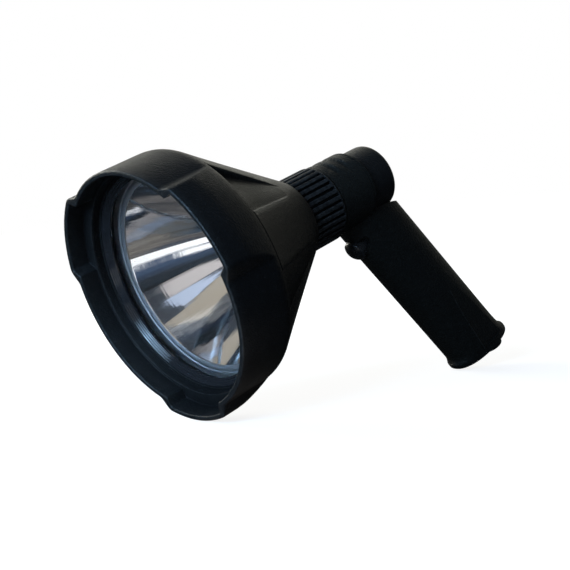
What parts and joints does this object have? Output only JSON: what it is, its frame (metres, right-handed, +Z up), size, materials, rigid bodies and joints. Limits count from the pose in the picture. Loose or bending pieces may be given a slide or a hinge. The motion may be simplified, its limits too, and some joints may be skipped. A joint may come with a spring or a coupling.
{
  "type": "handheld searchlight",
  "caption": "Pistol-grip searchlight with a lobed shroud, fluted bell, finned barrel, turning rear dimmer cap, trigger switch and rechargeable cells in the grip.",
  "frame": {"origin": "on the surface that the lamp lies on, under the middle of its overall box", "axes": "+Z up; the beam points to -Y, tipped down by the resting pitch; +X to the lamp's left"},
  "size_m": [0.1496, 0.299, 0.1501],
  "materials": {
    "shell_black": "fine-grained",
    "trim_black": "gloss",
    "button_black": "satin",
    "seal_rubber": "matte",
    "clear_lens": "clear",
    "reflector_mirror": "polished",
    "fin_metal": "satin",
    "star_board": "satin",
    "emitter": "gloss",
    "steel": "satin",
    "wire_red": "satin",
    "board_green": "gloss",
    "component_black": "satin",
    "brass": "satin",
    "cell_wrap": "satin"
  },
  "bodies": {
    "lamp": {"bezel": "shell_black", "trim_ring": "trim_black", "lens_gasket": "seal_rubber", "lens": "clear_lens", "reflector": "reflector_mirror", "bell": "shell_black", "heat_sink": "fin_metal", "led_board": "star_board", "led_emitter": "emitter", "led_screws": "steel", "led_leads": "wire_red", "driver_board": "board_green", "driver_parts": "component_black", "dimmer_body": "component_black", "dimmer_nut": "brass", "cap_seal": "seal_rubber", "grip_left": "shell_black", "grip_right": "shell_black", "grip_screws": "steel", "foot_plate": "shell_black", "foot_screws": "steel", "charge_socket": "component_black", "socket_nut": "brass", "trigger_spring": "steel", "trigger_switch": "component_black", "switch_bracket": "steel", "battery_cells": "cell_wrap", "battery_holder": "component_black", "cell_contacts": "brass"},
    "trigger": {"trigger_button": "button_black", "switch_plunger": "steel"},
    "dimmer": {"rear_cap": "shell_black", "dimmer_shaft": "steel"},
    "plug": {"charge_plug": "seal_rubber"}
  },
  "joints": [
    {"name": "trigger_press", "type": "slide", "parent": "lamp", "child": "trigger", "axis": [0, 0.7075, 0.7068], "range_m": [0, 0.003], "stiffness_N_per_m": 700, "springref_m": -0.002, "deforming": ["trigger_spring"]},
    {"name": "dimmer_turn", "type": "hinge", "parent": "lamp", "child": "dimmer", "pos_m": [0, 0.03425, 0.12666], "axis": [0, 0.9479, 0.3185], "range_deg": [0, 270]},
    {"name": "plug_pull", "type": "slide", "parent": "lamp", "child": "plug", "axis": [0, 0.4844, -0.8749], "range_m": [0, 0.009]}
  ]
}
